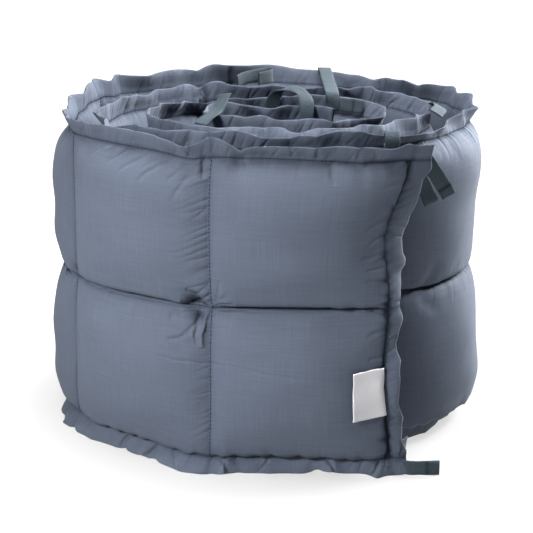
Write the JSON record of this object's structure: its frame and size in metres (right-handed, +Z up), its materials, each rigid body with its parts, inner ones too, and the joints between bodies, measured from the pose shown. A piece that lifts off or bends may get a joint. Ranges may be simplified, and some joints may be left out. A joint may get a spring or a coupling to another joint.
{
  "type": "rolled crib bumper",
  "caption": "Long quilted cloth bumper with a flat sewn hem, tape ties and a bare side label, wound in a loose upright roll.",
  "frame": {"origin": "centre of the roll's footprint, on the surface that it stands on", "axes": "+Z up along the roll's height, -Y toward the pillow with the free end, +X toward the side hem of that pillow"},
  "size_m": [0.404, 0.3843, 0.309],
  "materials": {
    "padded_cotton": "matt, fine plain-weave cotton in slate blue-grey",
    "label_cloth": "matt white label cloth",
    "tape_cotton": "matt, coarse twill cotton tape in teal-grey"
  },
  "bodies": {
    "root": {"quilted_strip": "padded_cotton", "side_label": "label_cloth", "tie_corner_long": "tape_cotton", "tie_corner_loop": "tape_cotton", "tie_floor": "tape_cotton", "tie_floor_stub": "tape_cotton", "tie_rolled": "tape_cotton", "tie_long": "tape_cotton", "tie_block": "tape_cotton", "tie_arched": "tape_cotton", "tie_leaf": "tape_cotton", "tie_small": "tape_cotton", "tie_patch": "tape_cotton"}
  },
  "joints": []
}
